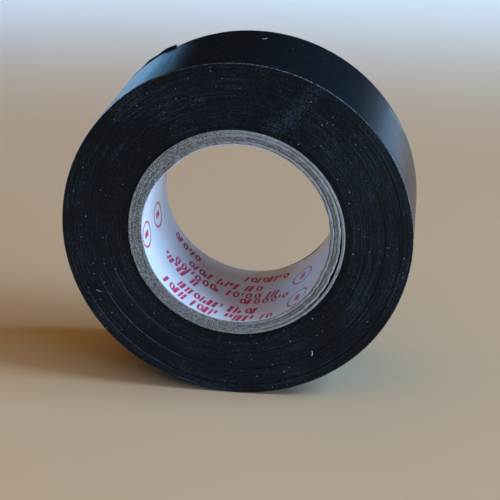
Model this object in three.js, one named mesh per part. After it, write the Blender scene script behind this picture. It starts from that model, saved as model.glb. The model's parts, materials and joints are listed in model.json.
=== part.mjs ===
// A roll of electrical tape standing on its rim: a chipboard core with a paper liner, one long strip
// of adhesive tape wound round it, and the free end of the strip, which peels off the roll.
// Units are millimetres and +Z is up. The roll's axis lies along Y and its front side faces -Y.
import * as THREE from 'three';

// The tape
const TAPE_WIDTH = 19;
const FILM_THICKNESS = 0.1;
const ADHESIVE_THICKNESS = 0.03;
const TURN_THICKNESS = FILM_THICKNESS + ADHESIVE_THICKNESS;
const BOND_GAP = 0.005;          // kept between layers that are bonded or wound tight

// The core
const BORE_RADIUS = 13.56;
const LINER_THICKNESS = 0.12;
const PLY_THICKNESS = 0.47;
const PLY_COUNT = 4;
const PLY_GAP = 0.01;
const CORE_LENGTH = 18.9;
const LINER_LENGTH = 18.7;
const CORE_TO_TAPE = 0.03;

// The winding: how many turns each band holds, from the core outwards, and how far it lies towards
// the back. Each band has crept a little further to the front than the one inside it.
const WINDING_BANDS = [
  { turns: 23, slide: 0 },
  { turns: 20, slide: -0.08 },
  { turns: 19, slide: -0.18 },
  { turns: 11, slide: -0.28 },
];
const STRIP_SLIDE = WINDING_BANDS.at(-1).slide;  // the last turn and the tail follow the last band

// The facets: every ring has the same ones, with one lying flat on the ground
const FACETS = 72;
const FACET_ANGLE = 2 * Math.PI / FACETS;
const TAPE_END_ANGLE = THREE.MathUtils.degToRad(117.5);  // from +X towards +Z
const GROUND_FACET_START = 30;   // facets from the tape's end to the ground, anticlockwise

// The free end: hinged segments, from its root to the cut end of the tape
const TAIL_SEGMENTS = 6;
const FACETS_PER_SEGMENT = 2;
const TAIL_FACETS = TAIL_SEGMENTS * FACETS_PER_SEGMENT;
const TAIL_JOINT_GAP = 0.01;     // between one segment and the next, along the tape

const woundTurns = WINDING_BANDS.reduce((sum, band) => sum + band.turns, 0);
const plyOuterRadius = BORE_RADIUS + LINER_THICKNESS + PLY_COUNT * (PLY_THICKNESS + PLY_GAP);
const tapeStartRadius = plyOuterRadius + CORE_TO_TAPE;
const rimRadius = tapeStartRadius + (woundTurns + 1) * TURN_THICKNESS;

// The tape is a spiral: its outer surface drops by one thickness in a turn, counted in facets
// anticlockwise from the cut end.
const spiralRadius = (step) => rimRadius - TURN_THICKNESS * step / FACETS;

function finish(color, roughness) {
  return new THREE.MeshStandardMaterial({ color, roughness, metalness: 0 });
}

const finishes = {
  film: () => finish(0x0b0d10, 0.32),
  tapeEdge: () => finish(0x15181b, 0.62),
  adhesive: () => finish(0x08090a, 0.2),
  chipboard: () => finish(0x6e6a66, 0.92),
  liner: () => finish(0xd9dce8, 0.55),
};

// A corner of the outline whose flats touch the given radius. The step counts facets
// anticlockwise from the tape's end, and the shift moves the corner along the tape.
function corner(radius, step, shift = 0) {
  const angle = TAPE_END_ANGLE + step * FACET_ANGLE + shift / radius;
  const cornerRadius = radius / Math.cos(FACET_ANGLE / 2);
  return new THREE.Vector2(cornerRadius * Math.cos(angle), cornerRadius * Math.sin(angle));
}

function arcPoints(radiusAt, firstStep, lastStep) {
  const points = [];
  for (let step = firstStep; step <= lastStep; step += 1) {
    points.push(corner(radiusAt(step), step));
  }
  return points;
}

// Extrudes an outline in the X-Z plane along the axis, centred on the roll and slid along Y.
function alongAxis(shape, length, slide) {
  const geometry = new THREE.ExtrudeGeometry(shape, { depth: length, bevelEnabled: false });
  geometry.rotateX(Math.PI / 2);
  geometry.translate(0, length / 2 + slide, 0);
  return geometry;
}

function named(name, geometry, material) {
  const mesh = new THREE.Mesh(geometry, material);
  mesh.name = name;
  return mesh;
}

// A closed ring between two surfaces, each a function of the step
function ring(outerAt, innerAt, length, slide) {
  const shape = new THREE.Shape(arcPoints(outerAt, 0, FACETS));
  shape.holes.push(new THREE.Path(arcPoints(innerAt, 0, FACETS - 1)));
  return alongAxis(shape, length, slide);
}

function roundRing(outerRadius, innerRadius, length, slide) {
  const shape = new THREE.Shape(arcPoints(() => outerRadius, 0, FACETS - 1));
  shape.holes.push(new THREE.Path(arcPoints(() => innerRadius, 0, FACETS - 1)));
  return alongAxis(shape, length, slide);
}

// A stretch of one layer of the strip. Its top and bottom lie at the given depths under the
// spiral, and it stops short of its last step by the gap.
function stripLayer(topDepth, bottomDepth, firstStep, lastStep, gap) {
  const top = (step) => spiralRadius(step) - topDepth;
  const bottom = (step) => spiralRadius(step) - bottomDepth;
  const outer = arcPoints(top, firstStep, lastStep - 1);
  outer.push(corner(top(lastStep), lastStep, -gap));
  const inner = arcPoints(bottom, firstStep, lastStep - 1);
  inner.push(corner(bottom(lastStep), lastStep, -gap));
  return alongAxis(new THREE.Shape([...outer, ...inner.reverse()]), TAPE_WIDTH, STRIP_SLIDE);
}

const filmLayer = (first, last, gap) => stripLayer(0, FILM_THICKNESS - BOND_GAP, first, last, gap);
const adhesiveLayer = (first, last, gap) => (
  stripLayer(FILM_THICKNESS, TURN_THICKNESS - BOND_GAP, first, last, gap)
);

function makeCore() {
  const core = new THREE.Group();
  const linerOuter = BORE_RADIUS + LINER_THICKNESS;
  const liner = roundRing(linerOuter, BORE_RADIUS, LINER_LENGTH, 0);
  core.add(named('core_liner', liner, finishes.liner()));
  for (let ply = 0; ply < PLY_COUNT; ply += 1) {
    const inner = linerOuter + PLY_GAP + ply * (PLY_THICKNESS + PLY_GAP);
    const geometry = roundRing(inner + PLY_THICKNESS, inner, CORE_LENGTH, 0);
    core.add(named(`core_ply_${ply + 1}`, geometry, finishes.chipboard()));
  }
  return core;
}

// The wound bands. Only the outermost one shows the step under the tape's end: the others are
// round, because the turns above them hide theirs.
function makeWinding() {
  const winding = new THREE.Group();
  let turnsBelow = 0;
  WINDING_BANDS.forEach(({ turns, slide }, index) => {
    const inner = tapeStartRadius + turnsBelow * TURN_THICKNESS;
    const outer = inner + turns * TURN_THICKNESS - BOND_GAP;
    const outermost = index === WINDING_BANDS.length - 1;
    const geometry = outermost
      ? ring((step) => spiralRadius(step) - TURN_THICKNESS - BOND_GAP, () => inner, TAPE_WIDTH, slide)
      : roundRing(outer, inner, TAPE_WIDTH, slide);
    const name = `wound_turns_${turnsBelow + 1}_to_${turnsBelow + turns}`;
    winding.add(named(name, geometry, finishes.tapeEdge()));
    turnsBelow += turns;
  });
  const lastFilm = filmLayer(TAIL_FACETS, FACETS, BOND_GAP);
  const lastAdhesive = adhesiveLayer(TAIL_FACETS, FACETS, BOND_GAP);
  winding.add(named('last_turn_film', lastFilm, finishes.film()));
  winding.add(named('last_turn_adhesive', lastAdhesive, finishes.adhesive()));
  return winding;
}

// Segment 1 is next to the last turn and the highest number ends at the cut, so the segments
// are counted clockwise and the steps anticlockwise.
function makeTail() {
  const tail = new THREE.Group();
  for (let segment = 1; segment <= TAIL_SEGMENTS; segment += 1) {
    const first = (TAIL_SEGMENTS - segment) * FACETS_PER_SEGMENT;
    const last = first + FACETS_PER_SEGMENT;
    tail.add(named(`tail_film_${segment}`, filmLayer(first, last, TAIL_JOINT_GAP), finishes.film()));
    tail.add(named(
      `tail_adhesive_${segment}`,
      adhesiveLayer(first, last, TAIL_JOINT_GAP),
      finishes.adhesive(),
    ));
  }
  return tail;
}

const roll = new THREE.Group();
roll.add(makeCore(), makeWinding(), makeTail());
roll.position.z = spiralRadius(GROUND_FACET_START);

export default roll;
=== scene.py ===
import json
import math
import bpy
import numpy as np
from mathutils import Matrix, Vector


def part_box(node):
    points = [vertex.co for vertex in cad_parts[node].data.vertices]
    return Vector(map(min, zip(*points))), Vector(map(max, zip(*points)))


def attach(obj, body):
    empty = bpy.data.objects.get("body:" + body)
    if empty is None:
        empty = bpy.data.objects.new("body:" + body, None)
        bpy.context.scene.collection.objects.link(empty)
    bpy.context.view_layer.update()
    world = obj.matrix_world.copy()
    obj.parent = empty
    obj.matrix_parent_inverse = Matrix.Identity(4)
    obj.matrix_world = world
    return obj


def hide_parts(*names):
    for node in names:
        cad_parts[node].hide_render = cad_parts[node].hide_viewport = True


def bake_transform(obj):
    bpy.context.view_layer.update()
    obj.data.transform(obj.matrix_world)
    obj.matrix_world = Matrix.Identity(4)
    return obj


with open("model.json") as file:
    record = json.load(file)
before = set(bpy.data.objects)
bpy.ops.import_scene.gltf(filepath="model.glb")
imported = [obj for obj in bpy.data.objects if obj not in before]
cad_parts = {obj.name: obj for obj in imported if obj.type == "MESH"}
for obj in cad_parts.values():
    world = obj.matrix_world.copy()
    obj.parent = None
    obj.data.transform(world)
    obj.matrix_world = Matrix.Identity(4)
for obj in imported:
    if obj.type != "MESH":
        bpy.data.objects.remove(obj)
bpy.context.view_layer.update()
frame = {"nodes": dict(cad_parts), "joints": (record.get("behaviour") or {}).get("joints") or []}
print("frame loaded:", len(frame["nodes"]), "nodes")

# All shapes are worked out in millimetres round the roll's axis: x right, y to the back, z up.
mm = 0.001
coreLow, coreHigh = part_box("core_ply_4")
axisHeight = (coreLow[2] + coreHigh[2]) / 2 / mm


# Half the width of a node's box.
def nodeRadius(node):
    low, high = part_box(node)
    return (high[0] - low[0]) / 2 / mm


# The places of a node's front and back along the axis.
def nodeSpan(node):
    low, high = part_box(node)
    return low[1] / mm, high[1] / mm


# The free end's hinges, from its root to the cut: angles seen from the front, anticlockwise from +x.
hingeAngles = [
    math.atan2(joint["pos_m"][2] / mm - axisHeight, joint["pos_m"][0] / mm)
    for joint in frame["joints"]
]
segmentAngle = hingeAngles[0] - hingeAngles[1]
cutAngle = hingeAngles[-1] - segmentAngle

bandNodes = sorted((n for n in frame["nodes"] if n.startswith("wound_turns")), key=nodeRadius)
bandSlides = [sum(nodeSpan(node)) / 2 for node in bandNodes]
plyNodes = sorted(n for n in frame["nodes"] if n.startswith("core_ply"))

tape = {
    "film": 0.1,
    "adhesive": 0.03,
    "gap": 0.004,            # between one turn and the next
    "turns": 73,
    "bandEnds": [23, 43, 62, 72],
}
turnThickness = tape["film"] + tape["adhesive"]
halfWidth = (nodeSpan("last_turn_film")[1] - nodeSpan("last_turn_film")[0]) / 2
rimRadius = axisHeight + turnThickness * (1.5 * math.pi - cutAngle) / math.tau


# 3x^2 - 2x^3, with x held between 0 and 1.
def smooth(x):
    x = np.clip(x, 0, 1)
    return x * x * (3 - 2 * x)


# A bell: e to the minus square of the angle from the middle over the width, wrapped at a full turn.
def bell(angle, middle, width):
    litSide = (angle - math.radians(middle) + math.pi) % math.tau - math.pi
    return np.exp(-((litSide / math.radians(width)) ** 2))


waveFade = 0.3               # the power of a wave's length that its size goes with


# A random wander: the sum of size * sin(rate * t + start) over the root of the number of waves,
# with random sizes, rates and starts. Whole rates make it close on itself round a circle.
def wander(t, seed, slowest, fastest, waves=22, whole=False):
    draw = np.random.default_rng(seed)
    rates = np.exp(draw.uniform(math.log(slowest), math.log(fastest), waves))
    if whole:
        rates = np.round(rates)
    sizes = draw.normal(0, 1, waves) * (slowest / rates) ** waveFade
    starts = draw.uniform(0, math.tau, waves)
    total = np.zeros(np.shape(t))
    for rate, size, start in zip(rates, sizes, starts):
        total += size * np.sin(rate * np.asarray(t) + start)
    return total / math.sqrt(waves)


sharpFrom = math.radians(38)  # a steeper fold between two faces is shaded as an edge


# Puts places (n x 3, in mm round the axis) and faces into a closed mesh, and turns the faces
# outwards: the sum of place . (next x after next) over the triangles is six times the volume.
def putMesh(name, places, quads, caps, material, restPlaces=None):
    triangles = np.concatenate([quads[:, [0, 1, 2]], quads[:, [0, 2, 3]]])
    a, b, c = (places[triangles[:, i]] for i in range(3))
    if (a * np.cross(b, c)).sum() < 0:
        quads = quads[:, ::-1]
        caps = [cap[::-1] for cap in caps]
    corners = np.concatenate([quads.ravel(), *caps]).astype(np.int32)
    counts = np.array([4] * len(quads) + [len(cap) for cap in caps], np.int32)
    starts = np.concatenate([[0], np.cumsum(counts)[:-1]]).astype(np.int32)
    mesh = bpy.data.meshes.new(name)
    mesh.vertices.add(len(places))
    mesh.loops.add(len(corners))
    mesh.polygons.add(len(counts))
    placed = places * mm + np.array([0, 0, axisHeight * mm])
    mesh.vertices.foreach_set("co", placed.astype(np.float32).ravel())
    mesh.loops.foreach_set("vertex_index", corners)
    mesh.polygons.foreach_set("loop_start", starts)
    mesh.polygons.foreach_set("use_smooth", np.ones(len(counts), bool))
    mesh.update(calc_edges=True)
    mesh.validate()
    mesh.set_sharp_from_angle(angle=sharpFrom)
    rest = mesh.attributes.new("restPlace", "FLOAT_VECTOR", "POINT")
    restPlaces = places if restPlaces is None else restPlaces
    rest.data.foreach_set("vector", restPlaces.astype(np.float32).ravel())
    mesh.materials.append(material)
    piece = bpy.data.objects.new(name, mesh)
    bpy.context.scene.collection.objects.link(piece)
    return piece


# A profile carried along a path: grid[row, column] with the rows along the path and the columns
# round the closed profile. The path closes on itself, or each end gets a cap.
def sweep(name, grid, closed, material, restGrid=None):
    rows, columns = grid.shape[:2]
    index = np.arange(rows * columns).reshape(rows, columns)
    here = index if closed else index[:-1]
    ahead = np.roll(index, -1, axis=0) if closed else index[1:]
    quads = np.stack([here, np.roll(here, -1, 1), np.roll(ahead, -1, 1), ahead], -1).reshape(-1, 4)
    caps = [] if closed else [index[0][::-1], index[-1]]
    restPlaces = None if restGrid is None else restGrid.reshape(-1, 3)
    return putMesh(name, grid.reshape(-1, 3), quads, caps, material, restPlaces)


# Gives each point of a piece a number of its own, for its material to read.
def putNumber(piece, name, numbers):
    attribute = piece.data.attributes.new(name, "FLOAT", "POINT")
    attribute.data.foreach_set("value", numbers.astype(np.float32).ravel())


# x = r cos a, z = r sin a, with y along the axis.
def roundAxis(angle, radius, across):
    angle, radius, across = np.broadcast_arrays(angle, radius, across)
    return np.stack([radius * np.cos(angle), across, radius * np.sin(angle)], -1)


# The same for one point, with its angle in degrees.
def onRoll(degrees, radius, across):
    return [radius * math.cos(math.radians(degrees)), across, radius * math.sin(math.radians(degrees))]


# Feeds a socket: a link from another socket, or the value itself.
def feed(tree, socket, value):
    if isinstance(value, bpy.types.NodeSocket):
        tree.links.new(value, socket)
    else:
        socket.default_value = value


# Adds a node of a kind with its settings, and feeds its inputs.
def addNode(tree, kind, inputs=None, **settings):
    node = tree.nodes.new(kind)
    for key, value in settings.items():
        setattr(node, key, value)
    for key, value in (inputs or {}).items():
        feed(tree, node.inputs[key], value)
    return node


# One sum on up to three values, such as first * second + third, held between 0 and 1 if clamped.
def mathNode(tree, operation, first, second=0.0, third=0.0, clamp=False):
    node = addNode(tree, "ShaderNodeMath", {0: first, 1: second, 2: third}, operation=operation)
    node.use_clamp = clamp
    return node.outputs[0]


# first * second.
def times(tree, first, second, clamp=False):
    return mathNode(tree, "MULTIPLY", first, second, clamp=clamp)


# first * its share + second * its share.
def weigh(tree, first, second, shares):
    return mathNode(tree, "MULTIPLY_ADD", first, shares[0], times(tree, second, shares[1]))


# Goes from toLow to toHigh as 3t^2 - 2t^3, t being the value's share of the way from low to high.
def ramp(tree, value, low, high, toLow=0.0, toHigh=1.0):
    node = addNode(
        tree, "ShaderNodeMapRange",
        {"Value": value, "From Min": low, "From Max": high, "To Min": toLow, "To Max": toHigh},
        interpolation_type="SMOOTHSTEP",
    )
    return node.outputs[0]


# first + share * (second - first).
def blendColour(tree, share, first, second):
    node = addNode(tree, "ShaderNodeMix", {0: share, 6: first, 7: second}, data_type="RGBA")
    return node.outputs[2]


# Noise with so many features a mm: octaves, each twice as fine and weaker by the falloff.
def noise(tree, vector, scale, detail, falloff):
    node = addNode(
        tree, "ShaderNodeTexNoise",
        {"Vector": vector, "Scale": scale, "Detail": detail, "Roughness": falloff},
    )
    return node.outputs["Fac"]


# Noise that runs round the roll, on (rate * x, rate * z, acrossRate * across), where x and z are the
# direction round the axis and across is the turn, the radius or the place along the axis.
def woundNoise(tree, around, across, rate, acrossRate, detail, falloff):
    parts = {
        0: times(tree, around[0], rate),
        1: times(tree, around[1], rate),
        2: times(tree, across, acrossRate),
    }
    vector = addNode(tree, "ShaderNodeCombineXYZ", parts).outputs[0]
    return noise(tree, vector, 1.0, detail, falloff)


speckShape = {"full": 0.4, "rarity": 5.0}  # the share of its reach where a speck is full


# Specks where a random point lies close to the surface: a ramp down to the reach, times a random
# number of the point's own to the power of the rarity, so that few are bright.
def specks(tree, vector, scale, reach):
    cell = addNode(
        tree, "ShaderNodeTexVoronoi", {"Vector": vector, "Scale": scale, "Randomness": 1.0},
        feature="F1",
    )
    own = addNode(tree, "ShaderNodeSeparateColor", {0: cell.outputs["Color"]}).outputs[0]
    near = ramp(tree, cell.outputs["Distance"], reach, reach * speckShape["full"])
    return times(tree, near, mathNode(tree, "POWER", own, speckShape["rarity"]))


# How near a place is to the line from start to end: 1 on it and 0 at the given width. The
# distance is taken to start + t (end - start), t being the place's share along the line, 0 to 1.
def nearLine(tree, place, start, end, width):
    start, end = np.array(start), np.array(end)
    run = end - start
    offset = addNode(tree, "ShaderNodeVectorMath", {0: place, 1: start}, operation="SUBTRACT").outputs[0]
    along = addNode(
        tree, "ShaderNodeVectorMath", {0: offset, 1: run / (run @ run)}, operation="DOT_PRODUCT")
    share = times(tree, along.outputs["Value"], 1.0, clamp=True)
    foot = addNode(tree, "ShaderNodeVectorMath", {0: run, "Scale": share}, operation="SCALE").outputs[0]
    away = addNode(tree, "ShaderNodeVectorMath", {0: offset, 1: foot}, operation="DISTANCE")
    return ramp(tree, away.outputs["Value"], width, 0.0)


# A bump normal: the height, from 0 to 1, times the depth in mm, on top of the bump under it.
def bump(tree, height, depth, under=None):
    node = addNode(tree, "ShaderNodeBump", {"Height": height, "Distance": depth * mm, "Strength": 1.0})
    if under is not None:
        feed(tree, node.inputs["Normal"], under)
    return node.outputs[0]


# Starts a material. Its place is each point's place on the roll at rest, in mm round the axis.
def startMaterial(name):
    material = bpy.data.materials.new(name)
    material.use_nodes = True
    tree = material.node_tree
    tree.nodes.clear()
    output = addNode(tree, "ShaderNodeOutputMaterial")
    shader = addNode(tree, "ShaderNodeBsdfPrincipled")
    tree.links.new(shader.outputs[0], output.inputs[0])
    place = addNode(tree, "ShaderNodeAttribute", attribute_name="restPlace").outputs["Vector"]
    return material, tree, shader, place


# The radius sqrt(x^2 + z^2), the direction round the axis (x / radius, z / radius), and y along it.
def roundPlace(tree, place):
    x, y, z = addNode(tree, "ShaderNodeSeparateXYZ", {0: place}).outputs
    squares = mathNode(tree, "MULTIPLY_ADD", x, x, times(tree, z, z))
    radius = mathNode(tree, "SQRT", squares)
    around = (mathNode(tree, "DIVIDE", x, radius), mathNode(tree, "DIVIDE", z, radius))
    return radius, around, y


# Feeds the shader with what the material has worked out.
def feedShader(tree, shader, colour, roughness, normal=None):
    feed(tree, shader.inputs["Base Color"], colour)
    feed(tree, shader.inputs["Roughness"], roughness)
    if normal is not None:
        feed(tree, shader.inputs["Normal"], normal)


# In the looks below, a noise round the roll is (rate round it, rate across, detail, falloff), a plain
# noise is (features a mm, detail, falloff), specks are (points a mm, reach), and a ramp is
# (from, to), with the values there behind them where they aren't 0 and 1.
edgeLook = {
    "black": (0.0022, 0.0038, 0.0062, 1),
    "dusty": (0.036, 0.049, 0.066, 1),
    # Painted highlight: the colour of the ridge lines where the band steps catch the light.
    "ridgeHighlight": (0.06, 0.088, 0.12, 1),
    "speck": (0.42, 0.48, 0.54, 1),
    "specular": 0.16,
    "roughness": (0, 0.6, 0.42, 0.75),
    "turns": (1.1, 0.62, 3, 0.75),
    "fineTurns": (5.0, 1.9, 2, 0.6),
    "cloud": (0.19, 5, 0.6),
    "grain": (5.0, 3, 0.7),
    "dustyTurns": (0.44, 0.72),
    "dustyCloud": (0.36, 0.66),
    "dustyFine": (0.48, 0.72),
    "fineShare": 0.22,
    "dustGrain": (0.36, 0.6, 0.1, 1.1),
    "sprinkle": (0.44, 0.66),
    "sprinkleShare": 0.16,
    "coreShade": (15.7, 17.0, 0.1, 1.0),      # painted shade by radius: darker next to the core, where the first turns lie deeper
    "scuffs": [              # angle and radius at each end, width, strength
        ((72, 16.6), (62.5, 24.3), 1.9, 0.6),
        ((126, 19.4), (119.5, 19.5), 0.1, 0.9),
    ],
    "scuffGrain": (0.44, 0.6),
    "ridges": [(23, 0.6), (43, 0.8), (62, 0.7)],        # turn and strength
    "ridgeMiddle": 0.7,      # turns past the band's end
    "ridgeReach": 0.42,
    "ridgeSide": (-1.22, -1.4),              # by x + z of the direction: at the lower left, where the painted highlight goes
    "ridgeGrain": (0.38, 0.62, 0.15, 1.0),
    "specks": (1.25, 0.15),
    "smallSpecks": (3.9, 0.3),
    "speckCloud": (0.4, 0.62, 0.08, 0.4),
    "grainDepth": 0.012,
    "speckDepth": 0.02,
}


# The cut edges of the wound turns: black, with dust = turns * cloud + fine turns + scuffs, broken up
# by the grain and faded out near the core as painted shade, and then the ridges, a painted highlight
# at the lower left, and the specks.
def makeEdgeMaterial():
    look = edgeLook
    material, tree, shader, place = startMaterial("tape edge")
    radius, around, _ = roundPlace(tree, place)
    shader.inputs["Specular IOR Level"].default_value = look["specular"]
    turn = addNode(tree, "ShaderNodeAttribute", attribute_name="turn").outputs["Fac"]
    turns = ramp(tree, woundNoise(tree, around, turn, *look["turns"]), *look["dustyTurns"])
    fineTurns = ramp(tree, woundNoise(tree, around, turn, *look["fineTurns"]), *look["dustyFine"])
    cloud = noise(tree, place, *look["cloud"])
    grain = noise(tree, place, *look["grain"])
    dust = times(tree, turns, ramp(tree, cloud, *look["dustyCloud"]))
    dust = mathNode(tree, "MULTIPLY_ADD", fineTurns, look["fineShare"], dust)
    side = sum(bandSlides) / len(bandSlides) - halfWidth
    for startAt, endAt, width, strength in look["scuffs"]:
        line = nearLine(tree, place, onRoll(*startAt, side), onRoll(*endAt, side), width)
        line = times(tree, line, ramp(tree, grain, *look["scuffGrain"]))
        dust = mathNode(tree, "MULTIPLY_ADD", line, strength, dust)
    dust = times(tree, dust, ramp(tree, grain, *look["dustGrain"]), clamp=True)
    sprinkle = ramp(tree, grain, *look["sprinkle"])
    dust = mathNode(tree, "MULTIPLY_ADD", sprinkle, look["sprinkleShare"], dust)
    # Painted shade: the dust colour fades out towards the core, so the deeper turns next to it are darker.
    dust = times(tree, dust, ramp(tree, radius, *look["coreShade"]))
    colour = blendColour(tree, dust, look["black"], look["dusty"])
    # Painted highlight: the turns just past each band's end are lightened at the lower left only, where
    # their step faces catch the light, broken up by the grain.
    ridgeHighlight = 0.0
    for start, strength in look["ridges"]:
        inside = mathNode(tree, "COMPARE", turn, start + look["ridgeMiddle"], look["ridgeReach"])
        ridgeHighlight = mathNode(tree, "MULTIPLY_ADD", inside, strength, ridgeHighlight)
    facing = ramp(tree, mathNode(tree, "ADD", *around), *look["ridgeSide"])
    facing = times(tree, facing, ramp(tree, grain, *look["ridgeGrain"]))
    colour = blendColour(tree, times(tree, ridgeHighlight, facing), colour, look["ridgeHighlight"])
    small = specks(tree, place, *look["smallSpecks"])
    small = times(tree, small, ramp(tree, cloud, *look["speckCloud"]))
    marks = mathNode(tree, "MAXIMUM", specks(tree, place, *look["specks"]), small)
    colour = blendColour(tree, marks, colour, look["speck"])
    normal = bump(tree, marks, look["speckDepth"], bump(tree, grain, look["grainDepth"]))
    feedShader(tree, shader, colour, ramp(tree, dust, *look["roughness"]), normal)
    return material


filmLook = {
    "black": (0.006, 0.0085, 0.0125, 1),
    "scuffed": (0.02, 0.027, 0.036, 1),
    # Painted highlight: the colour of the light line along the film's edges.
    "edgeHighlight": (0.3, 0.37, 0.45, 1),
    "speck": (0.36, 0.4, 0.42, 1),
    "specular": 0.33,
    "roughness": (0, 1, 0.29, 0.4),
    "scuffs": (7.0, 1.3, 4, 0.62),
    "cloud": (0.16, 4, 0.6),
    "peel": (1.3, 2, 0.5),
    "grain": (4.0, 2, 0.6),
    "scuffedBy": (0.5, 0.75),
    "scuffCloud": (0.4, 0.65),
    "scratches": [           # angle and place across at each end, width, strength
        ((35, 6.0), (26, 9.2), 0.09, 4.8),
        ((60, -2.0), (57, 1.5), 0.06, 2.4),
        ((99, -6.5), (93, -5.2), 0.07, 2.4),
        ((140, 0.5), (133, 3.0), 0.08, 1.8),
    ],
    "glintFrom": 0.26,         # mm from the tape's edge where the painted edge highlight starts, and where it is full
    "glintFull": 0.02,
    "glintGrain": (0.4, 0.66, 0.04, 0.85),
    "glintSide": (-0.2, 0.5, 0.55, 1.0),       # by x of the direction: more on the right, where the key light falls
    "glintShare": 0.8,
    "specks": (0.9, 0.1),
    "dullBy": (0.3, 0.7),
    "dullShare": 0.5,
    "peelDepth": 0.005,
    "scuffDepth": 0.003,
}


# The smooth outside of the film: satin black, with wear = scuffs * cloud + scratches, a painted
# highlight along the edges, broken up by grain and stronger on the right, and a few specks. It is
# duller where it is worn.
def makeFilmMaterial():
    look = filmLook
    material, tree, shader, place = startMaterial("tape film")
    _, around, y = roundPlace(tree, place)
    shader.inputs["Specular IOR Level"].default_value = look["specular"]
    scuffs = woundNoise(tree, around, y, *look["scuffs"])
    cloud = noise(tree, place, *look["cloud"])
    grain = noise(tree, place, *look["grain"])
    wear = ramp(tree, scuffs, *look["scuffedBy"])
    wear = times(tree, wear, ramp(tree, cloud, *look["scuffCloud"]))
    for startAt, endAt, width, strength in look["scratches"]:
        start, end = (onRoll(angle, rimRadius, across) for angle, across in (startAt, endAt))
        wear = mathNode(tree, "MULTIPLY_ADD", nearLine(tree, place, start, end, width), strength, wear)
    colour = blendColour(tree, wear, look["black"], look["scuffed"])
    # Painted highlight: a light blue line along both edges of the film, where the edge catches the light,
    # broken up by grain and stronger on the right.
    across = addNode(tree, "ShaderNodeAttribute", attribute_name="across").outputs["Fac"]
    fromMiddle = mathNode(tree, "ABSOLUTE", across)
    edgeGlint = ramp(tree, fromMiddle, halfWidth - look["glintFrom"], halfWidth - look["glintFull"])
    edgeGlint = times(tree, edgeGlint, ramp(tree, grain, *look["glintGrain"]))
    edgeGlint = times(tree, edgeGlint, ramp(tree, around[0], *look["glintSide"]))
    colour = blendColour(tree, times(tree, edgeGlint, look["glintShare"]), colour, look["edgeHighlight"])
    colour = blendColour(tree, specks(tree, place, *look["specks"]), colour, look["speck"])
    dull = times(tree, wear, look["dullShare"])
    dull = mathNode(tree, "MULTIPLY_ADD", ramp(tree, scuffs, *look["dullBy"]), look["dullShare"], dull)
    peel = bump(tree, noise(tree, place, *look["peel"]), look["peelDepth"])
    normal = bump(tree, scuffs, look["scuffDepth"], peel)
    feedShader(tree, shader, colour, ramp(tree, dull, *look["roughness"]), normal)
    return material


adhesiveLook = {
    "black": (0.006, 0.006, 0.0065, 1),
    "matt": (0.016, 0.016, 0.018, 1),
    "roughness": (0.35, 0.7, 0.12, 0.34),
    "strings": (20.0, 1.6, 4, 0.65),
    "pits": (2.4, 3, 0.6),
    "mattPits": (0.4, 0.7),
    "stringDepth": 0.012,
    "pitDepth": 0.01,
}


# The sticky side: glossy black, with fine strings round the roll and matt pits.
def makeAdhesiveMaterial():
    look = adhesiveLook
    material, tree, shader, place = startMaterial("tape adhesive")
    _, around, y = roundPlace(tree, place)
    strings = woundNoise(tree, around, y, *look["strings"])
    pits = noise(tree, place, *look["pits"])
    colour = blendColour(tree, ramp(tree, pits, *look["mattPits"]), look["black"], look["matt"])
    normal = bump(tree, strings, look["stringDepth"], bump(tree, pits, look["pitDepth"]))
    feedShader(tree, shader, colour, ramp(tree, strings, *look["roughness"]), normal)
    return material


boardLook = {
    "dark": (0.085, 0.078, 0.072, 1),
    "light": (0.335, 0.325, 0.325, 1),
    "brown": (0.2, 0.155, 0.11, 1),
    "fibre": (0.6, 0.57, 0.54, 1),
    "glued": (0.1, 0.066, 0.038, 1),
    "seamGlueAndShade": (0.05, 0.045, 0.04, 1),
    "roughness": (0.3, 0.7, 0.82, 0.98),
    "litWay": (0.98, 0.17),                # the direction of the lit side, where the plies show with painted light and shade
    "litSide": (-0.5, 0.5, 0.12, 1.0),         # 0.12 of the ply pattern is left on the other side
    "streaks": (22.0, 6.0, 4, 0.7),
    "fibres": (55.0, 20.0, 2, 0.7),
    "grit": (6.0, 3, 0.75),
    "pulp": (2.2, 4, 0.7),
    "cloud": (0.35, 3, 0.5),
    "grittiness": (0.36, 0.64),
    "stripedShares": (0.6, 0.4),             # of streaks and pulp
    "grainyShares": (0.34, 0.6),             # of grit and pulp
    "plyTone": (0, 1, -0.07, 0.07),
    "tone": (0.34, 0.66),
    "brownCloud": (0.5, 0.72),
    "brownShare": 0.35,
    "brightFibres": (0.6, 0.76),
    "fibreShare": 0.75,
    "seamWidth": 0.16,       # as a share of a ply
    "seamPulp": (0.38, 0.6, 0.05, 0.8),
    "seamCloud": (0.36, 0.6, 0.35, 1.0),
    "inBore": (9.1, 8.7),    # by distance from the roll's middle: the wall inside is glued brown
    "pulpDepth": 0.07,
    "toneDepth": 0.06,
}
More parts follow.
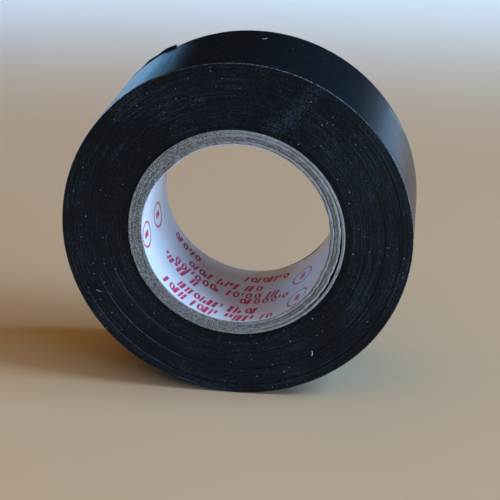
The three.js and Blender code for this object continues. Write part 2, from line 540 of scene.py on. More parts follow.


# Grey recycled chipboard. Towards the right, the lit side, its tone is streaks + pulp, in plies of their
# own greys with dark seams between them, and there the plies get painted light fibres and painted
# shade in the seams, which are partly glue. Elsewhere the sawn end is one grainy grey, grit + pulp.
def makeBoardMaterial():
    look = boardLook
    material, tree, shader, place = startMaterial("chipboard")
    radius, around, y = roundPlace(tree, place)
    plyThickness = (nodeRadius(plyNodes[-1]) - nodeRadius(plyNodes[0])) / (len(plyNodes) - 1)
    ply = mathNode(tree, "SUBTRACT", radius, nodeRadius(plyNodes[0]))
    ply = mathNode(tree, "DIVIDE", ply, plyThickness)
    own = addNode(
        tree, "ShaderNodeTexWhiteNoise", {"W": mathNode(tree, "CEIL", ply)}, noise_dimensions="1D")
    # Painted light: the lit side, towards the right, where the ply pattern, light fibres and seams show.
    litSide = ramp(tree, weigh(tree, *around, look["litWay"]), *look["litSide"])
    streaks = woundNoise(tree, around, radius, *look["streaks"])
    fibres = ramp(tree, woundNoise(tree, around, radius, *look["fibres"]), *look["brightFibres"])
    grit = ramp(tree, noise(tree, place, *look["grit"]), *look["grittiness"])
    pulp = noise(tree, place, *look["pulp"])
    cloud = noise(tree, place, *look["cloud"])
    striped = weigh(tree, streaks, pulp, look["stripedShares"])
    striped = mathNode(tree, "ADD", striped, ramp(tree, own.outputs[0], *look["plyTone"]))
    grainy = weigh(tree, grit, pulp, look["grainyShares"])
    tone = addNode(tree, "ShaderNodeMix", {0: litSide, 2: grainy, 3: striped}).outputs[0]
    colour = blendColour(tree, ramp(tree, tone, *look["tone"]), look["dark"], look["light"])
    brown = times(tree, ramp(tree, cloud, *look["brownCloud"]), look["brownShare"])
    colour = blendColour(tree, brown, colour, look["brown"])
    # Painted highlight: light fibres on the lit side only.
    litFibres = times(tree, fibres, times(tree, litSide, look["fibreShare"]))
    colour = blendColour(tree, litFibres, colour, look["fibre"])
    # Dark seams between the plies, on the lit side only: partly glue, partly painted shade in the gaps.
    fromMiddle = mathNode(tree, "SUBTRACT", mathNode(tree, "FRACT", ply), 0.5)
    seamGlueAndShade = ramp(tree, mathNode(tree, "ABSOLUTE", fromMiddle), 0.5 - look["seamWidth"], 0.5)
    seamGlueAndShade = times(tree, seamGlueAndShade, ramp(tree, pulp, *look["seamPulp"]))
    seamGlueAndShade = times(tree, seamGlueAndShade, ramp(tree, cloud, *look["seamCloud"]))
    colour = blendColour(tree, times(tree, seamGlueAndShade, litSide), colour, look["seamGlueAndShade"])
    inBore = ramp(tree, mathNode(tree, "ABSOLUTE", y), *look["inBore"])
    colour = blendColour(tree, inBore, colour, look["glued"])
    normal = bump(tree, tone, look["toneDepth"], bump(tree, pulp, look["pulpDepth"]))
    feedShader(tree, shader, colour, ramp(tree, pulp, *look["roughness"]), normal)
    return material


paperLook = {
    "white": (0.68, 0.71, 0.8, 1),
    "aged": (0.74, 0.6, 0.34, 1),
    "grey": (0.6, 0.6, 0.62, 1),
    "shade": (0.5, 0.5, 0.53, 1),
    "roughness": (0.3, 0.7, 0.32, 0.5),
    "cloud": (0.22, 4, 0.55),
    "weave": (3.2, 4, 0.65),
    "agedBack": (1.5, 5.5),                  # by place along the axis, by x of the direction and
    "agedSide": (-0.08, 0.35),               # by the cloud
    "agedCloud": (0.36, 0.56, 0.45, 1.0),
    "grubby": (0.5, 0.75),
    "grubbyShare": 0.4,
    "shaded": (0.3, 0.7, 0.0, 0.12),
    "weaveDepth": 0.012,
}


# Coated white paper: yellow by back * side * cloud, a little grubby, and shaded by its weave.
def makePaperMaterial():
    look = paperLook
    material, tree, shader, place = startMaterial("liner paper")
    _, around, y = roundPlace(tree, place)
    cloud = noise(tree, place, *look["cloud"])
    weave = noise(tree, place, *look["weave"])
    aged = ramp(tree, y, *look["agedBack"])
    aged = times(tree, aged, ramp(tree, around[0], *look["agedSide"]))
    aged = times(tree, aged, ramp(tree, cloud, *look["agedCloud"]))
    colour = blendColour(tree, aged, look["white"], look["aged"])
    grubby = times(tree, ramp(tree, cloud, *look["grubby"]), look["grubbyShare"])
    colour = blendColour(tree, grubby, colour, look["grey"])
    colour = blendColour(tree, ramp(tree, weave, *look["shaded"]), colour, look["shade"])
    normal = bump(tree, weave, look["weaveDepth"])
    feedShader(tree, shader, colour, ramp(tree, weave, *look["roughness"]), normal)
    return material


inkLook = {
    "red": (0.48, 0.014, 0.075, 1),
    "faded": (0.66, 0.13, 0.24, 1),
    "roughness": (0.3, 0.7, 0.35, 0.55),
    "patches": (1.6, 4, 0.7),
    "fadedPatches": (0.4, 0.68),
}


# Red print, faded in patches of noise where the paper took less ink.
def makeInkMaterial():
    look = inkLook
    material, tree, shader, place = startMaterial("red ink")
    patches = noise(tree, place, *look["patches"])
    colour = blendColour(tree, ramp(tree, patches, *look["fadedPatches"]), look["red"], look["faded"])
    feedShader(tree, shader, colour, ramp(tree, patches, *look["roughness"]))
    return material


fibreLook = {
    "grey": (0.5, 0.52, 0.5, 1),
    "white": (0.82, 0.84, 0.84, 1),
    "roughness": (0.3, 0.7, 0.6, 0.85),
    "shade": (3.0, 2, 0.5),
}


# Grey to white lint, shaded by noise.
def makeLintMaterial():
    look = fibreLook
    material, tree, shader, place = startMaterial("lint")
    shade = noise(tree, place, *look["shade"])
    colour = blendColour(tree, shade, look["grey"], look["white"])
    feedShader(tree, shader, colour, ramp(tree, shade, *look["roughness"]))
    return material


edgeMaterial = makeEdgeMaterial()
filmMaterial = makeFilmMaterial()
adhesiveMaterial = makeAdhesiveMaterial()
boardMaterial = makeBoardMaterial()
paperMaterial = makePaperMaterial()
inkMaterial = makeInkMaterial()
lintMaterial = makeLintMaterial()
print("materials ready")


# The strip's inner surface: a spiral that grows by one thickness a turn up to the cut.
def stripRadius(turn):
    return rimRadius - turnThickness + turnThickness * (turn - tape["turns"])


# The angle goes clockwise from the cut, one circle a turn.
def stripAngle(turn):
    return cutAngle - math.tau * turn


# The last turn's count at an angle between the cut and one circle past it.
def turnAt(angle):
    return tape["turns"] - (angle - cutAngle) / math.tau


# Waves are (seed, slowest rate, fastest rate) and, where given, how many.
creepLook = {
    "ridgeAngle": 226,       # where the bands stand out most
    "share": 0.3,            # how much less they do on the other side
    "ridgeTurn": 0.12,       # how much of a turn a ridge takes to build up
    "sway": 0.011,
    "swayWaves": (5, 0.08, 4.5, 40),
    "dish": 0.12,            # the first turns next to the core lie deeper
    "dishTurns": 6,
}


# The strip's place along the axis: the bands' own places joined by smooth steps, more at one side
# of the roll than the other, plus a random sway from turn to turn.
def creep(turn):
    steps = np.zeros(np.shape(turn))
    for change, end in zip(np.diff(bandSlides), tape["bandEnds"]):
        steps += change * smooth((turn - end) / creepLook["ridgeTurn"] + 0.5)
    lean = np.cos(stripAngle(turn) - math.radians(creepLook["ridgeAngle"]))
    sway = creepLook["sway"] * wander(math.tau * turn, *creepLook["swayWaves"])
    return steps * (1 - creepLook["share"] + creepLook["share"] * lean) + sway


edgeShape = {
    "stepsPerTurn": 240,
    "corners": [0.014, 0.004, 0.0, 0.014],   # how far each lies back, from the inside outwards
    "lean": 0.007,
    "leanWaves": (9, 0.1, 3.0, 30),
}


# One band of the wound strip: an eight-cornered section carried along the spiral. The ends of the
# section lean a little, differently from turn to turn, as a slit edge does.
def makeBand(name, node, firstTurn, lastTurn):
    rows = round((lastTurn - firstTurn) * edgeShape["stepsPerTurn"]) + 1
    turn = np.linspace(firstTurn, lastTurn, rows)[:, None]
    heights = [tape["gap"], tape["adhesive"], tape["film"], turnThickness - tape["gap"]]
    height = np.array(heights + heights[::-1])[None, :]
    side = np.array([-1] * 4 + [1] * 4)[None, :]
    inward = np.array(edgeShape["corners"] + edgeShape["corners"][::-1])[None, :]
    lean = edgeShape["lean"] * wander(math.tau * turn, *edgeShape["leanWaves"])
    leaning = lean * (height / turnThickness - 0.5) * 2
    dish = creepLook["dish"] * (1 - smooth((turn - 1) / creepLook["dishTurns"]))
    across = side * (halfWidth - inward - dish) + creep(turn) + side * leaning
    grid = roundAxis(stripAngle(turn), stripRadius(turn) + height, across)
    piece = sweep(name, grid, False, edgeMaterial)
    putNumber(piece, "turn", np.repeat(turn[:, 0], grid.shape[1]))
    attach(piece, "roll")
    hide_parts(node)


bandStarts = [0] + tape["bandEnds"][:-1]
for count, node in enumerate(bandNodes):
    makeBand(f"woundBand{count + 1}", node, bandStarts[count], tape["bandEnds"][count])
print("wound turns ready")

stripShape = {
    "rowAngle": 0.5,         # degrees between rows
    "fewestRows": 12,
    "edgePoints": (0, 0.02, 0.06, 0.12, 0.2, 0.3, 0.42),    # mm from the strip's edge
    "flatFrom": 0.9,
    "flatPoints": 17,
    "crownDepth": 0.05,      # how far the film's edges curl down
    "crownWidth": 0.38,
    "waves": 0.005,
    "waveSeed": 21,
    "waveCount": 9,
    "waveLengths": (4, 16),
    "waveStarts": 6.3,       # radians
    "cornerLift": 0.3,       # the free end's back corner curls off the roll
    "liftLength": 10.0,
    "liftFade": 0.3,         # the power that it fades with along the tape
    "liftWidth": 1.0,
    "liftCurve": 1.4,        # the power that it rises with across the tape
    "pucker": 0.2,
    "puckerRate": 1.85,      # radians a mm
    "puckerStart": -1.4,
    "thinned": 3.0,          # the cut end is pulled thin over this length
    "thinShare": 0.22,       # to this share of its thickness
    "cutFront": 114.3,       # the cut runs slightly askew
    "cutBack": 117.0,
    "cutRough": 0.03,
    "cutWaves": (31, 0.4, 6.0),
    "layerGap": 0.001,       # on each side of the seam between the film and the adhesive
    "adhesiveInset": 0.06,
    "adhesiveShort": 0.0002,  # of a turn, at the cut
}


# Across the strip: closely spaced at the edges, where it curls, and evenly between them.
def acrossPoints(half):
    edge = half - np.array(stripShape["edgePoints"])
    flat = half - stripShape["flatFrom"]
    return np.concatenate([-edge, np.linspace(-flat, flat, stripShape["flatPoints"]), edge[::-1]])


# Small waves of the strip's surface: sines that run obliquely over it.
def surfaceWaves(turn, across):
    along = math.tau * turn * rimRadius
    draw = np.random.default_rng(stripShape["waveSeed"])
    total = 0
    for wave in range(stripShape["waveCount"]):
        heading = draw.uniform(0, math.pi)
        length = draw.uniform(*stripShape["waveLengths"])
        start = draw.uniform(0, stripShape["waveStarts"])
        run = along * math.cos(heading) + across * math.sin(heading)
        total = total + np.sin(math.tau * run / length + start)
    return stripShape["waves"] * total / math.sqrt(stripShape["waveCount"])


# The last turn's count at the cut, which runs askew from front to back with a slight raggedness.
def cutTurn(across):
    share = (across / halfWidth + 1) / 2
    angle = np.radians(stripShape["cutFront"] * (1 - share) + stripShape["cutBack"] * share)
    ragged = stripShape["cutRough"] * wander(across, *stripShape["cutWaves"]) / rimRadius
    return tape["turns"] + (cutAngle - angle + ragged) / math.tau


# How far a place on the strip lies from the cut: the rest of the turn times the rim's length.
def fromCut(turn, across):
    return (cutTurn(across) - turn) * math.tau * rimRadius


# The free corner's lift: (1 - smooth way from the cut)^fade * (1 + pucker sin) along the tape, and
# a power of the way to the back edge across it.
def cornerLift(turn, across):
    away = fromCut(turn, across)
    pucker = np.sin(stripShape["puckerRate"] * away + stripShape["puckerStart"])
    along = smooth(1 - away / stripShape["liftLength"]) ** stripShape["liftFade"]
    along = along * (1 + stripShape["pucker"] * pucker)
    backwards = np.clip((across - halfWidth) / stripShape["liftWidth"] + 1, 0, 1)
    return stripShape["cornerLift"] * along * backwards ** stripShape["liftCurve"]


# A stretch of the film or the adhesive: its top from front to back and its underside from back to
# front, carried along the spiral, with the edges curled, the surface waved and the corner lifted.
def makeStrip(name, layer, firstTurn, lastTurn, toCut=False):
    isFilm = layer == "film"
    half = halfWidth - (0 if isFilm else stripShape["adhesiveInset"])
    across = acrossPoints(half)
    across = np.concatenate([across, across[::-1]])[None, :]
    isTop = np.arange(across.shape[1])[None, :] < across.shape[1] / 2
    short = 0 if isFilm else stripShape["adhesiveShort"]
    end = cutTurn(across) - short if toCut else lastTurn
    degrees = math.degrees((lastTurn - firstTurn) * math.tau)
    rows = max(stripShape["fewestRows"], round(degrees / stripShape["rowAngle"])) + 1
    turn = firstTurn + (end - firstTurn) * np.linspace(0, 1, rows)[:, None]
    curl = np.clip((np.abs(across) - halfWidth) / stripShape["crownWidth"] + 1, 0, 1) ** 2
    if isFilm:
        top = turnThickness - stripShape["crownDepth"] * curl
        height = np.where(isTop, top, tape["adhesive"] + stripShape["layerGap"])
    else:
        height = np.where(isTop, tape["adhesive"] - stripShape["layerGap"], tape["gap"])
    if toCut:
        pulled = 1 - smooth(fromCut(turn, across) / stripShape["thinned"])
        thin = 1 - (1 - stripShape["thinShare"]) * pulled
        height = tape["gap"] + (height - tape["gap"]) * thin
    height = height + surfaceWaves(turn, across) + cornerLift(turn, across)
    grid = roundAxis(stripAngle(turn), stripRadius(turn) + height, across + creep(turn))
    piece = sweep(name, grid, False, filmMaterial if isFilm else adhesiveMaterial)
    putNumber(piece, "across", np.broadcast_to(across, grid.shape[:2]))
    return piece


# The last turn rides the roll. Each hinge of the free end has a stretch of its own, from the middle
# of one segment to the middle of the next, and the cut end rides the last segment.
def makeFreeEnd(layer, title):
    half = segmentAngle / 2
    rootTurn = turnAt(hingeAngles[0] + half)
    lastTurn = makeStrip("lastTurn" + title, layer, tape["bandEnds"][-1], rootTurn)
    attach(lastTurn, "roll")
    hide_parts("last_turn_" + layer)
    for count, joint in enumerate(frame["joints"]):
        before, after = hingeAngles[count] + half, hingeAngles[count] - half
        piece = makeStrip(f"tail{title}{count + 1}", layer, turnAt(before), turnAt(after))
        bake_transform(piece)
        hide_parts(f"tail_{layer}_{count + 1}")
    cutEnd = makeStrip("tailEnd" + title, layer, turnAt(hingeAngles[-1] - half), tape["turns"], True)
    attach(cutEnd, frame["joints"][-1]["child"])


makeFreeEnd("film", "Film")
makeFreeEnd("adhesive", "Adhesive")
print("last turn and free end ready")

coreShape = {
    "rows": 540,
    "paper": 0.12,           # the liner's thickness
    "plyGap": 0.012,
    "endPoints": (0, 0.12, 0.3, 0.5, 0.7, 0.88, 1),         # shares of the wall
    "wallPoints": (0.35, 0.9, 1.8, 3.2, 5.5, 9.4, 13.0, 15.3),  # mm from the front
    "fuzz": 0.03,            # how rough the sawn ends are
    "fuzzWaves": (3, 110, 26),
    "seed": 100,
    "plySeeds": 50,          # the seeds of the next ply lie so far on
    "backSeeds": 20,         # and so do those of the back end
    "edge": 0.08,            # how far each ply's edges are worn back
    "edgeAngle": 0.17,       # most at this angle, in radians
    "edgeLeast": 0.15,       # and this share of it on the other side
    "split": {"angle": 338, "width": 32, "by": 0.27, "depth": 2.4},
    "splitRagged": 0.36,
    "splitWaves": (43, 16, 150, 40),
    "dents": [               # where the bore's edge is pressed in, less towards the tape
        {"angle": 133, "width": 20, "by": 0.36, "depth": 4.0},
        {"angle": 93, "width": 12, "by": 0.14, "depth": 4.0},
    ],
    "outOfRound": 0.035,
    "roundWaves": (41, 2, 9),
}
coreFront, coreBack = nodeSpan("core_ply_4")
boreRadius = nodeRadius("core_liner") - coreShape["paper"]
coreRadius = nodeRadius("core_ply_4")
splitRadius = nodeRadius("core_ply_3")
coreAngle = np.linspace(0, math.tau, coreShape["rows"], endpoint=False)[:, None]


# How far a point of the core has moved outwards: the wall inside the split has come away from the
# outer ply near the front, and dents press the bore in. Both are bells round the circle that fade
# as e to the minus depth. The bore is also a little out of round.
def coreShift(angle, radius, across):
    split = coreShape["split"]
    inward = across - coreFront
    share = np.clip((coreRadius - radius) / (coreRadius - boreRadius), 0, 1)
    isLoose = radius < splitRadius + coreShape["plyGap"] / 2
    ragged = 1 + coreShape["splitRagged"] * wander(angle, *coreShape["splitWaves"], whole=True)
    parted = split["by"] * bell(angle, split["angle"], split["width"]) * ragged
    shift = -parted * isLoose * np.exp(-inward / split["depth"])
    for dent in coreShape["dents"]:
        pressed = dent["by"] * bell(angle, dent["angle"], dent["width"])
        shift = shift - pressed * share * np.exp(-inward / dent["depth"])
    return shift + coreShape["outOfRound"] * share * wander(angle, *coreShape["roundWaves"], whole=True)


# The roughness of a sawn end: one wander round the circle for each point across the wall.
def sawnEnd(seed):
    seeds = range(seed, seed + len(coreShape["endPoints"]))
    waves = coreShape["fuzzWaves"]
    return np.stack([wander(coreAngle[:, 0], each, *waves, whole=True) for each in seeds], 1)


# One layer of the core: a closed section of front end, outside, back end and inside, turned round
# the axis. The ends are rough, their corners worn back, and every point is moved by coreShift.
def makeCoreLayer(name, node, inner, outer, front, back, seed, fuzz, material):
    share = np.array(coreShape["endPoints"])
    fused = smooth(np.cos(coreAngle - coreShape["edgeAngle"]) + 0.5)
    fused = coreShape["edgeLeast"] + (1 - coreShape["edgeLeast"]) * fused
    wear = coreShape["edge"] * np.abs(2 * share - 1) ** 4 * fused
    wall = np.array(coreShape["wallPoints"])
    endRadius = inner + (outer - inner) * share
    outside, inside = np.full(len(wall), outer), np.full(len(wall), inner)
    radius = np.concatenate([endRadius, outside, endRadius[::-1], inside])
    frontEnd = front + wear + fuzz * sawnEnd(seed)
    backEnd = back - wear - fuzz * sawnEnd(seed + coreShape["backSeeds"])
    wallAcross = np.broadcast_to(coreFront + wall, (len(coreAngle), len(wall)))
    across = np.concatenate([frontEnd, wallAcross, backEnd[:, ::-1], wallAcross[:, ::-1]], 1)
    radius = np.broadcast_to(radius, across.shape)
    grid = roundAxis(coreAngle, radius + coreShift(coreAngle, radius, across), across)
    piece = sweep(name, grid, True, material, roundAxis(coreAngle, radius, across))
    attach(piece, "roll")
    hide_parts(node)


linerShape = {
    "front": 0.1,            # how far the paper stops short of the core's ends
    "back": 0.12,
    "torn": 1.15,
    "tornAngle": 316,
    "tornWidth": 20,
    "tornRagged": 0.12,
    "tornWaves": (47, 6, 60),
    "nicks": 0.09,
    "nickWaves": (48, 9, 120, 34),
    "fuzz": 0.03,
    "seed": 400,
}


# The paper's back edge: torn back by a bell over part of the circle, and nicked all round.
def linerBack(angle):
    torn = bell(angle, linerShape["tornAngle"], linerShape["tornWidth"])
    torn = torn * (1 + linerShape["tornRagged"] * wander(angle, *linerShape["tornWaves"], whole=True))
    nicks = linerShape["nicks"] * wander(angle, *linerShape["nickWaves"], whole=True)
    return coreBack - linerShape["back"] - linerShape["torn"] * torn - np.abs(nicks)


linerRadius = boreRadius + coreShape["paper"]
inner = linerRadius
for count, node in enumerate(plyNodes):
    inner += coreShape["plyGap"]
    makeCoreLayer(
        f"corePly{count + 1}", node, inner, nodeRadius(node), coreFront, coreBack,
        coreShape["seed"] + coreShape["plySeeds"] * count, coreShape["fuzz"], boardMaterial,
    )
    inner = nodeRadius(node)
makeCoreLayer(
    "corePaper", "core_liner", boreRadius, linerRadius, coreFront + linerShape["front"],
    linerBack(coreAngle), linerShape["seed"], linerShape["fuzz"], paperMaterial,
)
print("core ready")

printLook = {
    "seed": 77,
    "rows": [                # place along the axis, first angle, last angle, height
        (-8.1, 218, 293, 2.1),
        (-5.4, 228, 281, 2.0),
        (-2.1, 210, 238, 1.9),
        (-2.1, 268, 297, 1.9),
    ],
    "copies": 2,             # the rows come again
    "repeat": 8.0,           # this far along the axis
    "blocks": 2,             # and all of it again round the bore
    "slant": -0.02,          # mm along the axis per degree, as a spiral-wound liner has
    "slantFrom": 255,
    "bars": (0.36, 0.42, 0.56),
    "spaces": (0.24, 0.32),
    "shares": ((-1, 1), (-1, 1), (-1, 1), (-1, 1), (-1, 0.0), (0.0, 1)),  # of a bar's height
    "barLean": 0.5,
    "word": (5, 11),         # the fewest marks in a group, and one more than the most
    "wordGap": 0.95,
    "loops": 0.24,           # the share of the marks that are small ovals
    "loopWidth": 1.05,
    "loopStrokes": 12,
    "rings": [(-6.8, 187), (-6.8, 310)],     # place along the axis, angle
    "ringSize": (1.75, 2.35),                # half its width and half its length
    "ringStrokes": 24,
    "ringBar": (0.45, 0.9),  # half its length as a share of the ring's, and its width
    "line": 0.34,
    "ink": 0.012,
    "margins": (0.04, 0.12),  # to the liner's front and back edges
    "smallest": 0.1,
}


# A stroke: a flat bar of the given width between two places on the unrolled liner.
def stroke(x0, y0, x1, y1, width):
    length = math.hypot(x1 - x0, y1 - y0)
    sx, sy = -(y1 - y0) / length * width / 2, (x1 - x0) / length * width / 2
    return [(x0 + sx, y0 + sy), (x1 + sx, y1 + sy), (x1 - sx, y1 - sy), (x0 - sx, y0 - sy)]


# An oval of short strokes: (x + wide cos t, y + long sin t) for t round one turn.
def ovalRing(x, y, wide, long, pieces):
    t = np.linspace(0, math.tau, pieces + 1)
    ring = np.stack([x + wide * np.cos(t), y + long * np.sin(t)], 1)
    return [stroke(*one, *two, printLook["line"]) for one, two in zip(ring, ring[1:])]


# One row of marks from x to stop, in groups: leaning bars and, now and then, an oval. It slants as
# y = place + slant * (degrees - slantFrom).
def printRow(draw, x, stop, place, height, perDegree, turned):
    look = printLook
    strokes = []
    left = int(draw.integers(*look["word"]))
    lean = look["barLean"] / height
    while x < stop:
        y = place + look["slant"] * (x / perDegree - turned - look["slantFrom"])
        isLoop = draw.random() < look["loops"]
        wide = look["loopWidth"] if isLoop else draw.choice(look["bars"])
        low, high = (share * height / 2 for share in draw.permutation(look["shares"])[0])
        if isLoop:
            line = look["line"]
            strokes += ovalRing(x + wide / 2, y, (wide - line) / 2, (height - line) / 2, look["loopStrokes"])
        else:
            strokes.append(stroke(x + lean * low, y + low, x + lean * high, y + high, wide))
        left -= 1
        x += wide + draw.choice(look["spaces"]) + (look["wordGap"] if left == 0 else 0)
        left = left or int(draw.integers(*look["word"]))
    return strokes


# Every stroke's four corners, in mm round the bore and along the axis: the rows, and rings with a
# bar in them.
def printStrokes():
    look = printLook
    draw = np.random.default_rng(look["seed"])
    strokes = []
    perDegree = math.radians(1) * boreRadius
    wide, long = look["ringSize"]
    share, barWidth = look["ringBar"]
    for block in range(look["blocks"]):
        turned = 360 / look["blocks"] * block
        for copy in range(look["copies"]):
            moved = look["repeat"] * copy
            for place, first, last, height in look["rows"]:
                x, stop = (first + turned) * perDegree, (last + turned) * perDegree
                strokes += printRow(draw, x, stop, place + moved, height, perDegree, turned)
            for place, at in look["rings"]:
                x, y = (at + turned) * perDegree, place + moved
                strokes += ovalRing(x, y, wide, long, look["ringStrokes"])
                strokes.append(stroke(x, y - long * share, x, y + long * share, barWidth))
    return np.array(strokes)


# Each stroke is a thin closed slab on the liner, which follows the bore's own shape. It is cut off
# at the liner's edges, and left out where less than the smallest piece of it is left.
def makePrint():
    strokes = printStrokes()
    angle = strokes[..., 0] / boreRadius
    frontMargin, backMargin = printLook["margins"]
    front, back = coreFront + linerShape["front"] + frontMargin, linerBack(angle) - backMargin
    across = np.clip(strokes[..., 1], front, back)
    isKept = np.ptp(across, axis=1) > printLook["smallest"]
    angle, across = angle[isKept], across[isKept]
    grid = []
    for depth in (printLook["ink"], -printLook["ink"]):
        radius = boreRadius + coreShift(angle, np.full(angle.shape, boreRadius), across) - depth
        grid.append(roundAxis(angle, radius, across))
    places = np.concatenate(grid, 1).reshape(-1, 3)
    base = np.arange(len(angle))[:, None] * 8
    pattern = np.array([[0, 1, 2, 3], [7, 6, 5, 4], [1, 0, 4, 5], [2, 1, 5, 6], [3, 2, 6, 7], [0, 3, 7, 4]])
    quads = (base[:, None, :] + pattern[None]).reshape(-1, 4)
    piece = putMesh("linerPrint", places, quads, [], inkMaterial)
    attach(piece, "roll")


makePrint()
print("print ready")

lintLook = {
    "sides": 6,
    "points": 18,
    "thinEnds": 0.45,        # how thin the ends are
    "rimLift": 0.6,          # how far the middle lies off the tape, in thicknesses
    "frontLift": 0.5,
    "onRim": [               # first angle and place across, last ones, bow, thickness
        (35.5, 7.4, 24.5, 9.0, 0.7, 0.022),
        (85.6, 4.4, 84.0, 5.4, 0.35, 0.018),
    ],
    "onFront": [             # first angle and radius, last ones, bow, thickness
        (301.2, 21.4, 302.6, 20.8, 0.25, 0.055),
        (205.0, 22.7, 206.5, 22.2, 0.12, 0.022),
    ],
}


# A fibre: a six-sided section carried along a bowed path that lies on the surface. The section is
# (cos t, sin t) in the two directions square to the path, and it thins at both ends as a sine.
def makeFibre(name, path, outward, thickness):
    tangent = np.gradient(path, axis=0)
    tangent /= np.linalg.norm(tangent, axis=1)[:, None]
    sideways = np.cross(tangent, outward)
    sideways /= np.linalg.norm(sideways, axis=1)[:, None]
    lifted = np.cross(sideways, tangent)
    turn = np.linspace(0, math.tau, lintLook["sides"], endpoint=False)
    share = np.linspace(0, 1, len(path))
    width = thickness * (lintLook["thinEnds"] + (1 - lintLook["thinEnds"]) * np.sin(math.pi * share))
    around = np.cos(turn)[None, :, None] * sideways[:, None] + np.sin(turn)[None, :, None] * lifted[:, None]
    grid = path[:, None] + around * width[:, None, None]
    piece = sweep(name, grid, False, lintMaterial)
    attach(piece, "roll")


# The fibres' paths: a straight run from first to last, plus the bow times the sine of half a turn.
def makeLint():
    share = np.linspace(0, 1, lintLook["points"])
    bowed = np.sin(math.pi * share)
    for count, (a0, y0, a1, y1, bow, thick) in enumerate(lintLook["onRim"]):
        angle = np.radians(a0 + (a1 - a0) * share)
        across = y0 + (y1 - y0) * share - bow * bowed
        rim = stripRadius(turnAt(angle + math.tau)) + turnThickness
        path = roundAxis(angle, rim + thick * lintLook["rimLift"], across)
        makeFibre(f"rimLint{count + 1}", path, roundAxis(angle, 1.0, 0.0), thick)
    for count, (a0, r0, a1, r1, bow, thick) in enumerate(lintLook["onFront"]):
        angle = np.radians(a0 + (a1 - a0) * share)
        radius = r0 + (r1 - r0) * share + bow * bowed
        turn = (radius - stripRadius(0)) / turnThickness
        turn = np.floor(turn) + (cutAngle - angle) % math.tau / math.tau
        path = roundAxis(angle, radius, creep(turn) - halfWidth - thick * lintLook["frontLift"])
        outward = np.broadcast_to([0.0, -1.0, 0.0], path.shape)
        makeFibre(f"frontLint{count + 1}", path, outward, thick)


makeLint()
print("lint ready")

studio = {
    "floorColour": (0.76, 0.575, 0.39, 1),
    "floorRoughness": 0.55,
    "floorSize": 6.0,
    "worldColour": (0.5, 0.75, 1.0, 1),
    "worldStrength": 0.009,
}


# The floor: a plain square at height 0 with the roll at its middle.
def makeFloor():
    material = bpy.data.materials.new("floor")
    material.use_nodes = True
    shader = material.node_tree.nodes["Principled BSDF"]
    shader.inputs["Base Color"].default_value = studio["floorColour"]
    shader.inputs["Roughness"].default_value = studio["floorRoughness"]
    mesh = bpy.data.meshes.new("floor")
    h = studio["floorSize"] / 2
    mesh.from_pydata([(-h, -h, 0), (h, -h, 0), (h, h, 0), (-h, h, 0)], [], [(0, 1, 2, 3)])
    mesh.materials.append(material)
    floor = bpy.data.objects.new("floor", mesh)
    bpy.context.scene.collection.objects.link(floor)


# A softbox: a rectangular lamp that looks from its place to its aim.
def makeLight(name, place, aim, size, power, colour):
    lamp = bpy.data.lights.new(name, "AREA")
    lamp.shape = "RECTANGLE"
    lamp.size, lamp.size_y = size
    lamp.energy = power
    lamp.color = colour
    light = bpy.data.objects.new(name, lamp)
    light.location = place
    light.rotation_euler = (Vector(aim) - Vector(place)).to_track_quat("-Z", "Y").to_euler()
    light.visible_camera = False
    bpy.context.scene.collection.objects.link(light)
    return lamp


# A direction to the given azimuth and height: (sin a cos e, -cos a cos e, sin e).
def bearing(azimuth, elevation):
    a, e = math.radians(azimuth), math.radians(elevation)
    return Vector((math.sin(a) * math.cos(e), -math.cos(a) * math.cos(e), math.sin(e)))


makeFloor()
world = bpy.data.worlds.new("studio")
bpy.context.scene.world = world
world.use_nodes = True
world.node_tree.nodes["Background"].inputs[0].default_value = studio["worldColour"]
world.node_tree.nodes["Background"].inputs[1].default_value = studio["worldStrength"]
rollMiddle = Vector((0, 0, axisHeight * mm))

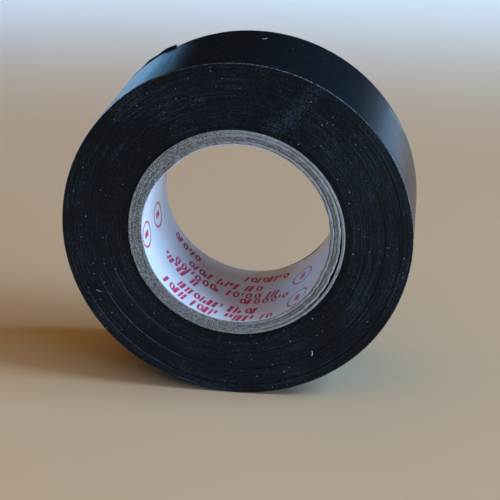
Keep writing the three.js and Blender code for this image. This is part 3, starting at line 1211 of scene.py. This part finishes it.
softboxes = {                # azimuth from the front, height, distance, size, watts, colour
    "lowKey": (66, 5, 1.2, (0.68, 0.18), 22.5, (0.42, 0.67, 0.96)),
    "highKey": (84, 44, 1.2, (0.52, 0.52), 10.8, (0.46, 0.71, 1.0)),
    "backGlow": (209.5, 0.2, 0.6, (0.26, 0.042), 0.14, (0.18, 0.53, 1.0)),
    "backLeft": (226, 0.3, 0.6, (0.24, 0.045), 0.12, (0.02, 0.36, 1.0)),
    "backRight": (148, 0.4, 0.6, (0.22, 0.045), 0.05, (0.0, 0.3, 1.0)),
    "backHigh": (150, 28, 0.6, (0.34, 0.34), 0.024, (0.1, 0.5, 1.0)),
    "warmTop": (320, 80, 0.9, (1.6, 1.6), 4.5, (1.0, 0.57, 0.14)),
    "warmLeft": (243, 14, 0.6, (0.3, 0.2), 0.09, (1.0, 0.6, 0.05)),
}
for name, (azimuth, elevation, away, size, watts, colour) in softboxes.items():
    makeLight(name, rollMiddle + bearing(azimuth, elevation) * away, rollMiddle, size, watts, colour)

farWindow = {                # lights the floor behind and not the roll
    "aim": Vector((-0.04, 0.57, 0)),
    "height": Vector((0, 0, 0.25)),
    "size": (1.6, 0.7),
    "watts": 8.6,
    "colour": (0.2, 0.46, 1.0),
    "spread": 60,
}
farLamp = makeLight(
    "farWindow", farWindow["aim"] + farWindow["height"], farWindow["aim"], farWindow["size"],
    farWindow["watts"], farWindow["colour"],
)
farLamp.spread = math.radians(farWindow["spread"])

cameraLook = {
    "lens": 96.25,
    "sensor": 36,
    "nearest": 0.01,
    "distance": 7.8665,      # from the roll's middle, in rim radii
    "fromAzimuth": 8.0,
    "fromElevation": 21.1,
    "lookAzimuth": 7.757,
    "lookElevation": 22.75,
}
camera = bpy.data.objects.new("camera", bpy.data.cameras.new("camera"))
bpy.context.scene.collection.objects.link(camera)
camera.data.lens = cameraLook["lens"]
camera.data.sensor_width = cameraLook["sensor"]
camera.data.clip_start = cameraLook["nearest"]
reach = cameraLook["distance"] * rimRadius * mm
camera.location = rollMiddle + bearing(cameraLook["fromAzimuth"], cameraLook["fromElevation"]) * reach
look = bearing(cameraLook["lookAzimuth"], cameraLook["lookElevation"])
camera.rotation_euler = look.to_track_quat("Z", "Y").to_euler()
bpy.context.scene.camera = camera
bpy.context.scene.view_settings.view_transform = "Standard"
print("studio ready")
